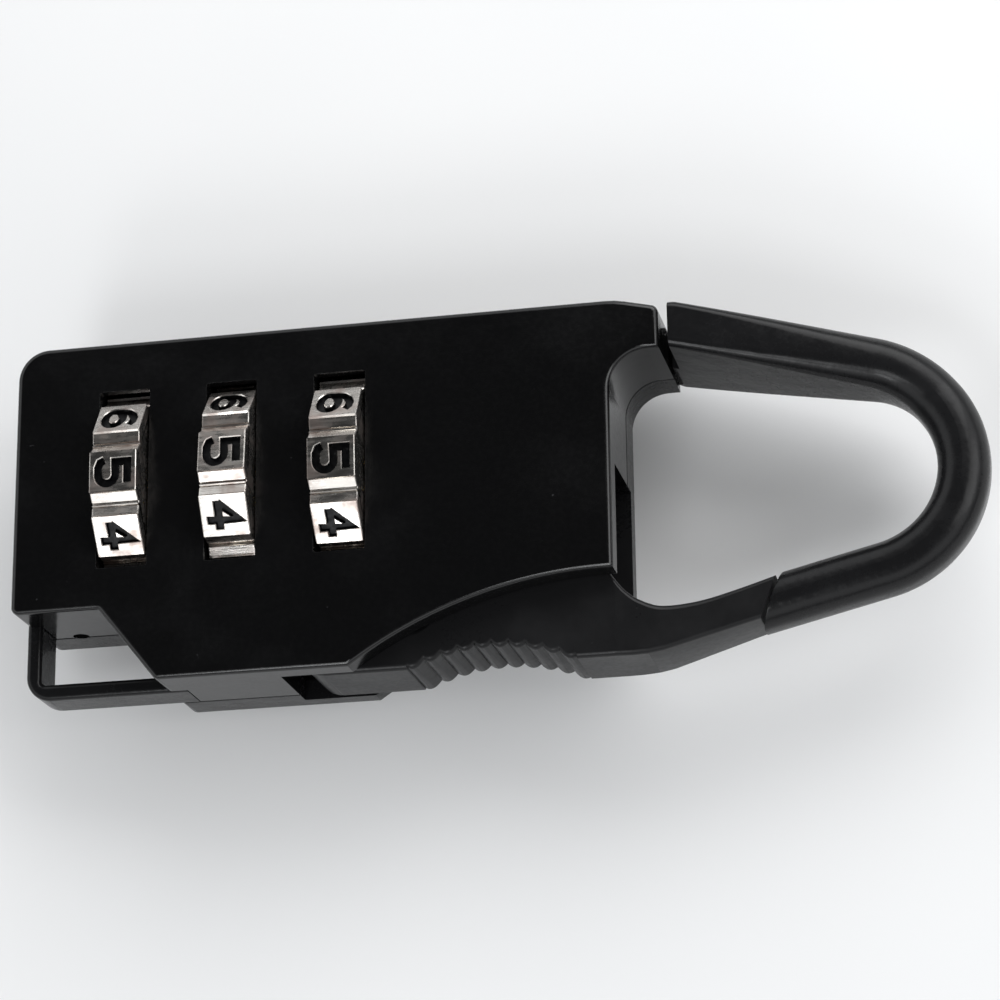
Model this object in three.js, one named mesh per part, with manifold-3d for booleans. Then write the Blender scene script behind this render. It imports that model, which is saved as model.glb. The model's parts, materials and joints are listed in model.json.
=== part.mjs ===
// Luggage combination padlock with a built-in snap hook, in millimetres.
// Lock frame: x runs from the eyelet end to the hook, y across the body towards its long straight
// edge, z out of the front cover, whose face is z = 0. The finished group is moved so that the
// origin is under the middle of the object, which lies on the backs of its number wheels.
import * as THREE from "three";
import { mergeVertices } from "three/addons/utils/BufferGeometryUtils.js";
import Module from "manifold-3d";

const wasm = await Module();
wasm.setup();

const DEG = Math.PI / 180;

// Body
const THICK = 11; // front face to back face
const MID_Z = -THICK / 2;
const LEFT_X = -0.2;
const TOP_Y = 21.57;
const BOTTOM_Y = -6.12;
const NOTCH_Y = -0.2; // wall above the eyelet
const END_X = 47.3; // wall that faces the hook opening
const SEAM_X = 51.2; // right end of the front cover, beside the root of the hook
const SPLIT_Z = -7.55; // parting plane of cover and casting
const SPLIT_GAP = 0.05; // each side of the parting plane
const WALL = 1.6;
const EDGE_ROUND = 0.5;
const CORNER_R = 2.5;
const LIP_ARC = { x: 47.0, y: -35.55, r: 35.7 }; // cover edge that sweeps over the gate
const DIAGONAL = [6.9, NOTCH_Y, 11.6, BOTTOM_Y]; // cut-off corner above the eyelet

// Number wheels
const WHEEL_X = [8.75, 17.45, 26.15];
const WHEEL_TURN = [-1.7, 5.4, -3.7]; // how far each wheel stands off its click, towards +y
const AXIS_Y = 10.2;
const WHEEL_WIDTH = 3.8;
const FACE_R = 8.13; // axis to the flat digit faces
const FACE_HALF = 11.4; // half the angle of one digit face
const GROOVE_R = 7.65;
const DIGITS = 10;
const SHOWN_DIGIT = 5;
const SLOT_WIDTH = 4.1;
const SLOT_Y = [3.0, 17.5];
const WHEEL_ROOM_R = 8.65;

// Clutch between wheel and sleeve, measured along x from the middle of the wheel
const HUB_R = 2.9;
const BORE_R = 3.0;
const RECESS_R = 3.9;
const LUG_R = 3.6;
const RECESS_FROM = -0.5;
const FLANGE_R = 3.75;
const FLANGE = [2.3, 3.9];
const NOTCH_FLOOR_R = 2.1;
const NOTCH_HALF = 1.35;
const LUG = [-1.75, -0.65];
const SLEEVE = [-3.2, 5.3]; // both ends of the sleeve's tube
const TUBE_R = 2.0;

// Spindle and reset, along x
const SHAFT_R = 1.2;
const PILOT_R = 0.7;
const SPINDLE = { tip: 0.4, cone: 4.3, collar: 5.3, end: 36.5 };
const CLIP = { x: [31.75, 32.25], r: 2.2 };
const BEARING = { x: [35.2, 36.6], y: [7.6, 12.8], bore: 1.3 };
const SPINDLE_SPRING = { x: [32.45, 35.05], r: 1.7, wire: 0.2, turns: 3 };
const RESET_HOLE = { x: 3.2, z: -7.2, r: 0.65 };
const SLIDER = { x: [2.35, 5.0], y: [1.75, 11.25], z: [-8.6, -2.4], slotFrom: 6.6, slotHalf: 0.95 };

// Gate
const PIVOT = [24.3, -4.3];
const GATE_Z = [-8.9, -2.2];
const GATE_BOSS_R = 1.8;
const PIN_R = 0.8;
const PIN_PLAY = 0.05;
const PIVOT_HEAD_R = 1.25;
const HEAD_SINK = 0.7; // depth of the sunk rivet heads in the back face
const SWING_TOP_Y = 8.9; // top of the slot that the gate swings into
const GRIP = { from: 31.3, to: 44.2, depth: 1.5, ribs: 10, rib: 0.35 };
const GATE_SPRING = { x: 41.2, y: [-0.9, 9.6], r: 1.35, wire: 0.28, turns: 6 };

// Fence
const FENCE = { y: [-2.2, -0.5], z: [-7.0, -4.0], fingerHalf: 0.9, fingerX: [2.5, 5.2] };
const FENCE_PIN = [30.3, -4.1];
const FENCE_PIN_R = 0.45;
const FENCE_GUIDE_X = [13.0, 26.2];

// Hook
const BAR_HALF_WIDTH = 2.0; // round the bend, across the bar in the plane of the hook
const BAR_HALF_DEPTH = 2.4;
const ROOT_HALF_WIDTH = 1.79;
const ROOT_HALF_DEPTH = 5.45;
const BEND = { x: 65.27, y: 7.96, r: 8.22 };
const UPPER_TILT = 12.9;
const LOWER_TILT = 13.4;
const HOOK_TAPER = 22.5; // length of bar over which the root thins down

// Fasteners and the detent spring
const RIVETS = [[4.4, 17.0], [33.2, 17.2], [43.0, 17.0]];
const POST_R = 2.1;
const RIVET = { r: 0.85, head: 1.5, bore: 0.95, sink: 1.6 };
const DETENT_RIVET_X = [13.1, 21.8];
const STRIP = { x: [5.0, 30.0], low: 19.6, thick: 0.3, dip: 18.65, z: [-7.0, -4.0] };

const MATERIALS = {
  gloss: { color: 0x0b0b0c, roughness: 0.18, metalness: 0.1 },
  satin: { color: 0x121213, roughness: 0.4, metalness: 0.1 },
  chrome: { color: 0xb9b6ae, roughness: 0.2, metalness: 1 },
  steel: { color: 0x9a9a9a, roughness: 0.35, metalness: 1 },
  brass: { color: 0xb08d4a, roughness: 0.35, metalness: 1 },
  zinc: { color: 0x8d8f92, roughness: 0.45, metalness: 0.9 },
};

// ---------- solids ----------

function solid(geometry) {
  const bare = geometry.index ? geometry.toNonIndexed() : geometry.clone();
  bare.deleteAttribute("normal");
  bare.deleteAttribute("uv");
  const merged = mergeVertices(bare, 1e-4);
  const vertProperties = new Float32Array(merged.attributes.position.array);
  const triVerts = new Uint32Array(merged.index.array);
  return new wasm.Manifold(new wasm.Mesh({ numProp: 3, vertProperties, triVerts }));
}

function meshOf(name, made, material) {
  const { vertProperties, triVerts } = made.getMesh();
  const geometry = new THREE.BufferGeometry();
  geometry.setAttribute("position", new THREE.BufferAttribute(vertProperties, 3));
  geometry.setIndex(new THREE.BufferAttribute(triVerts, 1));
  geometry.computeVertexNormals();
  const mesh = new THREE.Mesh(geometry, new THREE.MeshStandardMaterial(MATERIALS[material]));
  mesh.name = name;
  return mesh;
}

function outline(points) {
  return new THREE.Shape(points.map(([x, y]) => new THREE.Vector2(x, y)));
}

function prism(shape, low, high, curveSegments = 12) {
  const geometry = new THREE.ExtrudeGeometry(shape, {
    depth: high - low,
    bevelEnabled: false,
    curveSegments,
  });
  return solid(geometry.translate(0, 0, low));
}

function box([x0, x1], [y0, y1], [z0, z1]) {
  const geometry = new THREE.BoxGeometry(x1 - x0, y1 - y0, z1 - z0);
  return solid(geometry.translate((x0 + x1) / 2, (y0 + y1) / 2, (z0 + z1) / 2));
}

function pinAlongZ([x, y], radius, [z0, z1], sides = 20) {
  const geometry = new THREE.CylinderGeometry(radius, radius, z1 - z0, sides);
  return solid(geometry.rotateX(90 * DEG).translate(x, y, (z0 + z1) / 2));
}

function pinAlongY(x, [y0, y1], radius, z, sides = 16) {
  const geometry = new THREE.CylinderGeometry(radius, radius, y1 - y0, sides);
  return solid(geometry.translate(x, (y0 + y1) / 2, z));
}

// A solid of revolution about the wheel axis: profile points are [radius, x].
function turned(profile, sides = 28, closed = false) {
  const points = profile.map(([r, x]) => new THREE.Vector2(r, x));
  if (closed) points.push(points[0].clone());
  const geometry = new THREE.LatheGeometry(points, sides).rotateZ(-90 * DEG);
  return solid(geometry.translate(0, AXIS_Y, MID_Z));
}

// A plain round bar on the wheel axis.
function axle(radius, [x0, x1], sides = 20) {
  return turned([[0, x0], [radius, x0], [radius, x1], [0, x1]], sides);
}

// A solid drawn in the y-z plane about the wheel axis and extruded along x.
function wheelPrism(shape, low, high) {
  const geometry = new THREE.ExtrudeGeometry(shape, {
    depth: high - low,
    bevelEnabled: false,
    curveSegments: 14,
  });
  const axes = new THREE.Matrix4().makeBasis(
    new THREE.Vector3(0, 1, 0),
    new THREE.Vector3(0, 0, 1),
    new THREE.Vector3(1, 0, 0),
  );
  return solid(geometry.translate(0, 0, low).applyMatrix4(axes).translate(0, AXIS_Y, MID_Z));
}

// A coil spring that stands along y, from 0 to its length.
function coil({ r, wire, turns }, length) {
  const perTurn = 12;
  const steps = turns * perTurn;
  const points = Array.from({ length: steps + 1 }, (_, i) => {
    const angle = (i / perTurn) * 2 * Math.PI;
    const along = wire + ((length - 2 * wire) * i) / steps;
    return new THREE.Vector3(r * Math.cos(angle), along, r * Math.sin(angle));
  });
  const section = new THREE.Shape().absarc(0, 0, wire, 0, 2 * Math.PI, false);
  return new THREE.ExtrudeGeometry(section, {
    steps,
    extrudePath: new THREE.CatmullRomCurve3(points),
    curveSegments: 3,
    bevelEnabled: false,
  });
}

// ---------- body ----------

function bodyOutline() {
  const start = Math.asin((BOTTOM_Y - LIP_ARC.y) / LIP_ARC.r);
  const shape = new THREE.Shape();
  shape.moveTo(LEFT_X, NOTCH_Y);
  shape.lineTo(DIAGONAL[0], DIAGONAL[1]);
  shape.lineTo(DIAGONAL[2], DIAGONAL[3]);
  shape.absarc(LIP_ARC.x, LIP_ARC.y, LIP_ARC.r, Math.PI - start, 90 * DEG, true);
  shape.lineTo(END_X, LIP_ARC.y + LIP_ARC.r);
  shape.absarc(END_X + 3, 14.4, 3, 180 * DEG, 90 * DEG, true);
  shape.lineTo(SEAM_X, 17.4);
  shape.lineTo(SEAM_X, 20.9);
  shape.lineTo(49.5, 21.35);
  shape.lineTo(47.0, TOP_Y);
  shape.lineTo(LEFT_X + CORNER_R, TOP_Y);
  shape.absarc(LEFT_X + CORNER_R, TOP_Y - CORNER_R, CORNER_R, 90 * DEG, 180 * DEG, false);
  return shape;
}

// The whole body block with its front and back edges rounded.
function bodyBlank() {
  const geometry = new THREE.ExtrudeGeometry(bodyOutline(), {
    depth: THICK - 2 * EDGE_ROUND,
    bevelEnabled: true,
    bevelThickness: EDGE_ROUND,
    bevelSize: EDGE_ROUND,
    bevelOffset: -EDGE_ROUND,
    bevelSegments: 2,
    curveSegments: 8,
  });
  return solid(geometry.translate(0, 0, EDGE_ROUND - THICK));
}

// The hollow for the mechanism, inside walls of even thickness.
function chamber(low, high) {
  const inner = LIP_ARC.r + WALL;
  const shape = new THREE.Shape();
  shape.moveTo(1.4, 1.4);
  shape.lineTo(7.67, 1.4);
  shape.lineTo(12.36, -4.5);
  shape.lineTo(26.0, -4.5);
  shape.absarc(LIP_ARC.x, LIP_ARC.y, inner, 121 * DEG, 92 * DEG, true);
  shape.lineTo(45.7, 20.0);
  shape.lineTo(3.4, 20.0);
  shape.lineTo(1.4, 18.0);
  return prism(shape, low, high, 8);
}

// Room for the gate, closed and swung in, through the lower edge and the end wall.
function gateBay() {
  return box([21.1, 48], [-7, SWING_TOP_Y], [-9.1, -2.0]);
}

function wheelRoom(x) {
  const half = SLOT_WIDTH / 2;
  const round = new THREE.CylinderGeometry(WHEEL_ROOM_R, WHEEL_ROOM_R, SLOT_WIDTH, 40);
  const drum = solid(round.rotateZ(90 * DEG).translate(x, AXIS_Y, MID_Z));
  return drum.add(box([x - half, x + half], SLOT_Y, [-THICK - 1, 1]));
}

function eyeletOutline(grow) {
  const shape = new THREE.Shape();
  shape.moveTo(LEFT_X - grow, 1.2 + grow);
  shape.lineTo(LEFT_X - grow, BOTTOM_Y + 2);
  shape.absarc(LEFT_X + 2, BOTTOM_Y + 2, 2 + grow, 180 * DEG, 270 * DEG, false);
  shape.lineTo(13.0 + grow, BOTTOM_Y - grow);
  shape.lineTo(13.0 + grow, -4.85 + grow);
  shape.lineTo(1.5 - grow, -4.85 + grow);
  shape.lineTo(1.0 + grow, -4.35);
  shape.lineTo(1.0 + grow, 1.2 + grow);
  return shape;
}

const EYELET_Z = [-7.86, -4.06];

function resetHole() {
  return pinAlongY(RESET_HOLE.x, [NOTCH_Y - 1, WALL], RESET_HOLE.r, RESET_HOLE.z, 14);
}

function frontCover() {
  const split = SPLIT_Z + SPLIT_GAP;
  const lid = -WALL + 0.2; // inside face of the cover, with a little to join on to
  let made = bodyBlank().subtract(box([-5, 60], [-10, 30], [-20, split]));
  made = made.subtract(chamber(-THICK, -WALL)).subtract(gateBay());
  made = made.add(box([1.0, 2.1], [8.4, 12.0], [split + 0.1, lid])); // bush for the spindle's pilot
  made = made.add(box(BEARING.x, BEARING.y, [MID_Z + SPLIT_GAP, lid]));
  made = made.add(box(FENCE_GUIDE_X, [FENCE.y[0] + 0.1, FENCE.y[1] - 0.1], [FENCE.z[1] + 0.2, lid]));
  RIVETS.forEach((at) => {
    made = made.add(pinAlongZ(at, POST_R, [split + 0.05, lid]));
    made = made.subtract(pinAlongZ(at, RIVET.bore, [-8, -2.8], 16));
  });
  WHEEL_X.forEach((x) => {
    made = made.subtract(wheelRoom(x));
  });
  DETENT_RIVET_X.forEach((x) => {
    made = made.subtract(pinAlongY(x, [19.0, 20.9], 0.55, MID_Z, 12));
  });
  made = made.subtract(axle(PILOT_R + 0.1, [SPINDLE.tip - 0.1, 3], 16));
  made = made.subtract(axle(BEARING.bore, [34, 38]));
  made = made.subtract(pinAlongZ(PIVOT, PIN_R + PIN_PLAY, [-4, -0.8]));
  made = made.subtract(prism(eyeletOutline(0.1), EYELET_Z[0], EYELET_Z[1] + 0.1, 6));
  return made.subtract(resetHole());
}

// ---------- hook ----------

// Half width and half depth of the hook's bar, and how square it is, at x on the upper arm.
function hookSection(travel, x) {
  const t = Math.min(travel / HOOK_TAPER, 1);
  const ease = t * t * (3 - 2 * t);
  const root = Math.min(0.3 * Math.max(52 - x, 0), 0.36); // drawn in where it enters the casting
  return {
    wide: THREE.MathUtils.lerp(ROOT_HALF_WIDTH, BAR_HALF_WIDTH, t) - (travel < HOOK_TAPER ? root : 0),
    deep: BAR_HALF_DEPTH + (ROOT_HALF_DEPTH - BAR_HALF_DEPTH) * Math.pow(1 - t, 0.81),
    power: THREE.MathUtils.lerp(7, 2.2, ease),
  };
}

function hookPath() {
  const upper = (90 - UPPER_TILT) * DEG;
  const lower = -(90 - LOWER_TILT) * DEG;
  const bendStart = [BEND.x + BEND.r * Math.cos(upper), BEND.y + BEND.r * Math.sin(upper)];
  const bendEnd = [BEND.x + BEND.r * Math.cos(lower), BEND.y + BEND.r * Math.sin(lower)];
  const path = new THREE.Path();
  const back = 16.5;
  path.moveTo(bendStart[0] - back, bendStart[1] + back * Math.tan(UPPER_TILT * DEG));
  path.lineTo(...bendStart);
  path.absarc(BEND.x, BEND.y, BEND.r, upper, lower, true);
  path.lineTo(bendEnd[0] - 10, bendEnd[1] - 10 * Math.tan(LOWER_TILT * DEG));
  return path;
}

// The sine or cosine of a circle turned into that of a superellipse.
function squared(value, power) {
  return Math.abs(value) < 1e-6 ? 0 : Math.sign(value) * Math.pow(Math.abs(value), 2 / power);
}

function hookBar() {
  const path = hookPath();
  const length = path.getLength();
  const geometry = new THREE.CylinderGeometry(1, 1, 1, 22, 40);
  const spots = geometry.attributes.position;
  for (let i = 0; i < spots.count; i++) {
    const along = Math.min(Math.max(spots.getY(i) + 0.5, 0), 1);
    const centre = path.getPointAt(along);
    const ahead = path.getTangentAt(along);
    const reach = Math.hypot(spots.getX(i), spots.getZ(i));
    const angle = Math.atan2(spots.getZ(i), spots.getX(i));
    const { wide, deep, power } = hookSection(along * length, centre.x);
    const side = reach * wide * squared(Math.cos(angle), power);
    const up = reach * deep * squared(Math.sin(angle), power);
    spots.setXYZ(i, centre.x + ahead.y * side, centre.y - ahead.x * side, MID_Z + up);
  }
  return solid(geometry);
}

function hook() {
  const behindSeam = outline([[50, -7], [56.97, -7], [60.55, 2.8], [50, 2.8]]);
  const made = hookBar().subtract(prism(behindSeam, -20, 5));
  return made
    .subtract(box([40, 51.9], [15, 25], [-5.95, 2])) // seam beside the front cover
    .subtract(box([40, 51.35], [15, 25], [SPLIT_Z - SPLIT_GAP, 2]));
}

function backCasting() {
  const split = SPLIT_Z - SPLIT_GAP;
  const floor = -THICK + WALL - 0.2; // inside face of the casting, with a little to join on to
  const sunk = -THICK + HEAD_SINK;
  let made = bodyBlank().subtract(box([-5, 60], [-10, 30], [split, 2]));
  made = made.subtract(chamber(-THICK + WALL, 0)).subtract(gateBay());
  made = made.add(prism(eyeletOutline(0), ...EYELET_Z, 6));
  made = made.add(hook());
  made = made.add(box([5.25, 6.3], [1.7, 4.6], [floor, -3.2])); // guide rib of the reset slider
  made = made.add(box(BEARING.x, BEARING.y, [floor, MID_Z - SPLIT_GAP]));
  made = made.add(box(FENCE_GUIDE_X, [FENCE.y[0] + 0.1, FENCE.y[1] - 0.1], [floor, FENCE.z[0] - 0.2]));
  made = made.add(box([10.4, 11.0], [-1.5, 0.6], [floor, -3.6])); // post at the fence's left end
  const seat = [GATE_SPRING.y[1] + 0.1, GATE_SPRING.y[1] + 1.6];
  made = made.add(box([GATE_SPRING.x - 2, GATE_SPRING.x + 2], seat, [floor, -2.6]));
  RIVETS.forEach((at) => {
    made = made.add(pinAlongZ(at, POST_R, [floor, split]));
    made = made.subtract(pinAlongZ(at, RIVET.bore, [-12, -7], 16));
    made = made.subtract(pinAlongZ(at, RIVET.sink, [-12, sunk], 20));
  });
  WHEEL_X.forEach((x) => {
    made = made.subtract(wheelRoom(x));
  });
  made = made.subtract(axle(BEARING.bore, [34, 38]));
  made = made.subtract(pinAlongZ(PIVOT, PIN_R + PIN_PLAY, [-12, -8]));
  made = made.subtract(pinAlongZ(PIVOT, PIVOT_HEAD_R + 0.1, [-12, sunk], 20));
  return made.subtract(resetHole());
}

// ---------- gate ----------

function gripY(x) {
  const across = (x - GRIP.from) / (GRIP.to - GRIP.from);
  return BOTTOM_Y + GRIP.depth * 4 * across * (1 - across);
}

function gateOutline() {
  const points = [[PIVOT[0], PIVOT[1] - GATE_BOSS_R]];
  const steps = 2 * GRIP.ribs;
  for (let i = 0; i <= steps; i++) {
    const x = GRIP.from + ((GRIP.to - GRIP.from) * i) / steps;
    const rib = i % 2 ? 0 : GRIP.rib;
    points.push([x, Math.max(gripY(x) - rib, BOTTOM_Y)]);
  }
  points.push([48.7, BOTTOM_Y], [50.6, -5.85], [57.9, -3.75]); // outer edge
  points.push([59.1, -0.5], [56.4, -1.35], [53.4, -2.15], [50.6, -2.45]); // end face, inner edge
  points.push([48.9, -1.95], [47.7, -1.05], [46.9, 0], [46.2, 1.1], [45.5, 1.5]); // shoulder
  points.push([42, 1.2], [38, 0.4], [34.3, -0.9], [31.8, -3.0], [26.0, -2.85]); // hidden edge
  const shape = outline(points);
  shape.absarc(...PIVOT, GATE_BOSS_R, 60 * DEG, 270 * DEG, false);
  return shape;
}

// Side limits of the gate: full depth at the body, drawn in to the hook bar's depth at the tip.
function gateTaper() {
  const points = [[20, GATE_Z[0]], [47, GATE_Z[0]], [60, -7.9], [60, -3.1], [47, GATE_Z[1]]];
  points.push([20, GATE_Z[1]]);
  const geometry = new THREE.ExtrudeGeometry(outline(points), { depth: 20, bevelEnabled: false });
  return solid(geometry.rotateX(90 * DEG).translate(0, 12, 0));
}

function gateLever() {
  let made = prism(gateOutline(), ...GATE_Z, 8).intersect(gateTaper());
  made = made.subtract(pinAlongZ(PIVOT, PIN_R + PIN_PLAY, [-10, -1]));
  made = made.subtract(box([28.8, 32.7], [-5.3, 0], [FENCE.z[0] - 0.3, FENCE.z[1] + 0.3]));
  const slot = new THREE.Shape();
  const half = FENCE_PIN_R + 0.15;
  slot.absarc(FENCE_PIN[0], FENCE_PIN[1], half, 90 * DEG, 270 * DEG, false);
  slot.absarc(FENCE_PIN[0] + 0.34, FENCE_PIN[1] - 0.06, half, 270 * DEG, 450 * DEG, false);
  made = made.subtract(prism(slot, -8.4, -2.7, 8));
  const pocket = GATE_SPRING.r + 0.6;
  return made.subtract(pinAlongY(GATE_SPRING.x, [-1.0, 4], pocket, MID_Z, 20));
}

function gatePivotPin() {
  const shank = pinAlongZ(PIVOT, PIN_R, [-10.5, -1.0]);
  return shank.add(pinAlongZ(PIVOT, PIVOT_HEAD_R, [0.05 - THICK, 0.6 - THICK]));
}

function gateSpring() {
  const [low, high] = GATE_SPRING.y;
  return solid(coil(GATE_SPRING, high - low).translate(GATE_SPRING.x, low, MID_Z));
}

// ---------- fence ----------

function fenceBar() {
  const right = WHEEL_X[2] + FENCE.fingerX[1];
  let made = box([WHEEL_X[0] + FENCE.fingerX[0], right], FENCE.y, FENCE.z);
  const fingerZ = [MID_Z - FENCE.fingerHalf, MID_Z + FENCE.fingerHalf];
  const tip = AXIS_Y - FLANGE_R - 0.3;
  WHEEL_X.forEach((x) => {
    made = made.add(box([x + FENCE.fingerX[0], x + FENCE.fingerX[1]], [-1, tip], fingerZ));
  });
  const tongue = new THREE.Shape();
  tongue.moveTo(FENCE_PIN[0] + 0.85, -1.5);
  tongue.lineTo(FENCE_PIN[0] - 0.85, -1.5);
  tongue.absarc(...FENCE_PIN, 0.85, 180 * DEG, 360 * DEG, false);
  made = made.add(prism(tongue, ...FENCE.z, 8));
  return made.subtract(pinAlongZ(FENCE_PIN, FENCE_PIN_R + 0.03, [-9, -2], 14));
}

function fencePin() {
  return pinAlongZ(FENCE_PIN, FENCE_PIN_R, [-8.2, -2.9], 14);
}

// ---------- number wheels ----------

const arcPoints = (cx, cy, rx, ry, from, to, count) =>
  Array.from({ length: count + 1 }, (_, i) => {
    const angle = (from + ((to - from) * i) / count) * DEG;
    return [cx + rx * Math.cos(angle), cy + ry * Math.sin(angle)];
  });

const SIX = [
  arcPoints(0, -0.45, 0.78, 0.7, 60, 240, 7),
  arcPoints(0, -0.45, 0.78, 0.7, 230, 430, 7),
  [[-0.76, -0.5], [-0.7, 0.3], [-0.35, 0.95], [0.25, 1.15], [0.72, 0.95]],
];

// Centre lines of the ten digits, in millimetres about the middle of the digit.
const DIGIT_LINES = [
  [arcPoints(0, 0, 0.78, 1.15, 80, 280, 9), arcPoints(0, 0, 0.78, 1.15, -100, 100, 9)],
  [[[-0.5, 0.65], [0.1, 1.15], [0.1, -1.4]]],
  [[...arcPoints(0, 0.45, 0.75, 0.7, 165, -35, 7), [-0.75, -1.15], [0.95, -1.15]]],
  [arcPoints(0, 0.55, 0.7, 0.6, 160, -95, 7), arcPoints(0, -0.55, 0.78, 0.6, 95, -160, 7)],
  [[[0.35, -1.4], [0.35, 1.2], [-0.85, -0.45], [1.05, -0.45]]],
  [[[0.8, 1.15], [-0.6, 1.15], [-0.7, 0.05], ...arcPoints(0, -0.42, 0.8, 0.72, 110, -150, 8)]],
  SIX,
  [[[-0.95, 1.15], [0.75, 1.15], [-0.25, -1.4]]],
  [
    arcPoints(0, 0.58, 0.62, 0.57, -10, 190, 6),
    arcPoints(0, 0.58, 0.62, 0.57, 180, 360, 6),
    arcPoints(0, -0.55, 0.78, 0.6, -10, 190, 6),
    arcPoints(0, -0.55, 0.78, 0.6, 180, 360, 6),
  ],
  SIX.map((line) => line.map(([x, y]) => [-x, -y])),
];
const STROKE = 0.48;
const ENGRAVED = 0.25;

// The band of even width about an open line of points.
function strokeShape(line) {
  const points = line.map(([x, y]) => new THREE.Vector2(x, y));
  const sideOf = (i) => {
    const before = points[Math.max(i - 1, 0)];
    const after = points[Math.min(i + 1, points.length - 1)];
    const here = points[i];
    const a = here.clone().sub(before).normalize();
    const b = after.clone().sub(here).normalize();
    if (i === 0) a.copy(b);
    if (i === points.length - 1) b.copy(a);
    const mean = a.clone().add(b).normalize();
    const stretch = Math.min(1 / Math.max(mean.dot(a), 0.35), 2.2);
    return new THREE.Vector2(-mean.y, mean.x).multiplyScalar((STROKE / 2) * stretch);
  };
  const left = points.map((p, i) => p.clone().add(sideOf(i)));
  const right = points.map((p, i) => p.clone().sub(sideOf(i)));
  return new THREE.Shape([...right, ...left.reverse()]);
}

// Where digit d faces, as an angle from +y towards +z about the wheel axis.
function digitAngle(digit, turn) {
  return (90 - (digit - SHOWN_DIGIT) * (360 / DIGITS) - turn) * DEG;
}

function digitCutter(digit, x, turn) {
  const angle = digitAngle(digit, turn);
  const outward = new THREE.Vector3(0, Math.cos(angle), Math.sin(angle));
  const up = new THREE.Vector3(1, 0, 0);
  const place = new THREE.Matrix4().makeBasis(up.clone().cross(outward), up, outward);
  place.setPosition(x, AXIS_Y + FACE_R * outward.y, MID_Z + FACE_R * outward.z);
  const strokes = DIGIT_LINES[digit].map((line) => {
    const geometry = new THREE.ExtrudeGeometry(strokeShape(line), {
      depth: 2 * ENGRAVED,
      bevelEnabled: false,
    });
    return solid(geometry.translate(0, 0, -ENGRAVED).applyMatrix4(place));
  });
  return strokes.reduce((sum, stroke) => sum.add(stroke));
}

function wheelRim(turn) {
  const points = [];
  const corner = FACE_R / Math.cos(FACE_HALF * DEG);
  const at = (r, angle) => [r * Math.cos(angle), r * Math.sin(angle)];
  for (let digit = DIGITS - 1; digit >= 0; digit--) {
    const face = digitAngle(digit, turn);
    const groove = face + 18 * DEG;
    points.push(at(corner, face - FACE_HALF * DEG), at(corner, face + FACE_HALF * DEG));
    points.push(at(GROOVE_R + 0.12, groove - 4 * DEG), at(GROOVE_R, groove));
    points.push(at(GROOVE_R + 0.12, groove + 4 * DEG));
  }
  return outline(points);
}

function clutchBore(turn) {
  const points = [];
  const half = 10 * DEG;
  for (let digit = DIGITS - 1; digit >= 0; digit--) {
    const middle = digitAngle(digit, turn);
    [[-half, BORE_R], [-half, RECESS_R], [half, RECESS_R], [half, BORE_R]].forEach(([a, r]) => {
      points.push([r * Math.cos(middle + a), r * Math.sin(middle + a)]);
    });
  }
  return outline(points);
}

function numberWheel(index) {
  const x = WHEEL_X[index];
  const turn = WHEEL_TURN[index];
  const half = WHEEL_WIDTH / 2;
  let made = wheelPrism(wheelRim(turn), x - half, x + half);
  made = made.subtract(wheelPrism(clutchBore(turn), x - half - 1, x + half + 1));
  const recess = new THREE.Shape().absarc(0, 0, RECESS_R, 0, 2 * Math.PI, false);
  made = made.subtract(wheelPrism(recess, x + RECESS_FROM, x + half + 1));
  for (let digit = 0; digit < DIGITS; digit++) {
    made = made.subtract(digitCutter(digit, x, turn));
  }
  return made;
}

// A block that stands on the wheel axis and points along an angle, from one radius to another.
function spoke([x0, x1], halfWidth, [r0, r1], angle) {
  const geometry = new THREE.BoxGeometry(x1 - x0, r1 - r0, 2 * halfWidth);
  geometry.translate((x0 + x1) / 2, (r0 + r1) / 2, 0).rotateX(angle);
  return solid(geometry.translate(0, AXIS_Y, MID_Z));
}

function codeSleeve(index) {
  const x = WHEEL_X[index];
  const turn = WHEEL_TURN[index];
  const profile = [
    [SHAFT_R + 0.1, SLEEVE[0]],
    [HUB_R, SLEEVE[0]],
    [HUB_R, FLANGE[0]],
    [FLANGE_R, FLANGE[0]],
    [FLANGE_R, FLANGE[1]],
    [TUBE_R, FLANGE[1]],
    [TUBE_R, SLEEVE[1]],
    [SHAFT_R + 0.1, SLEEVE[1]],
  ].map(([r, along]) => [r, x + along]);
  let made = turned(profile, 32, true);
  const flange = [x + FLANGE[0] + 0.02, x + FLANGE[1] + 0.2];
  const deep = [NOTCH_FLOOR_R, FLANGE_R + 1];
  made = made.subtract(spoke(flange, NOTCH_HALF, deep, (180 - turn) * DEG)); // code notch
  made = made.subtract(spoke(flange, NOTCH_HALF, deep, (90 - turn) * DEG)); // assembly keyway
  const lug = spoke([x + LUG[0], x + LUG[1]], 0.4, [HUB_R - 0.5, LUG_R], digitAngle(0, turn));
  return made.add(lug);
}

// ---------- spindle and reset ----------

function spindle() {
  const { tip, cone, collar, end } = SPINDLE;
  const grooveR = 0.8;
  const groove = [CLIP.x[0] - 0.05, CLIP.x[1] + 0.05];
  return turned([
    [0, tip],
    [PILOT_R, tip],
    [PILOT_R, cone],
    [PILOT_R + collar - cone, collar],
    [SHAFT_R, collar],
    [SHAFT_R, groove[0]],
    [grooveR, groove[0]],
    [grooveR, groove[1]],
    [SHAFT_R, groove[1]],
    [SHAFT_R, end],
    [0, end],
  ], 24);
}

function spindleClip() {
  const [from, to] = CLIP.x;
  const bore = 0.85;
  const ring = turned([[bore, from], [CLIP.r, from], [CLIP.r, to], [bore, to]], 28, true);
  return ring.subtract(spoke([from - 1, to + 1], 0.7, [0, 4], 0)); // the gap of the clip
}

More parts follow.
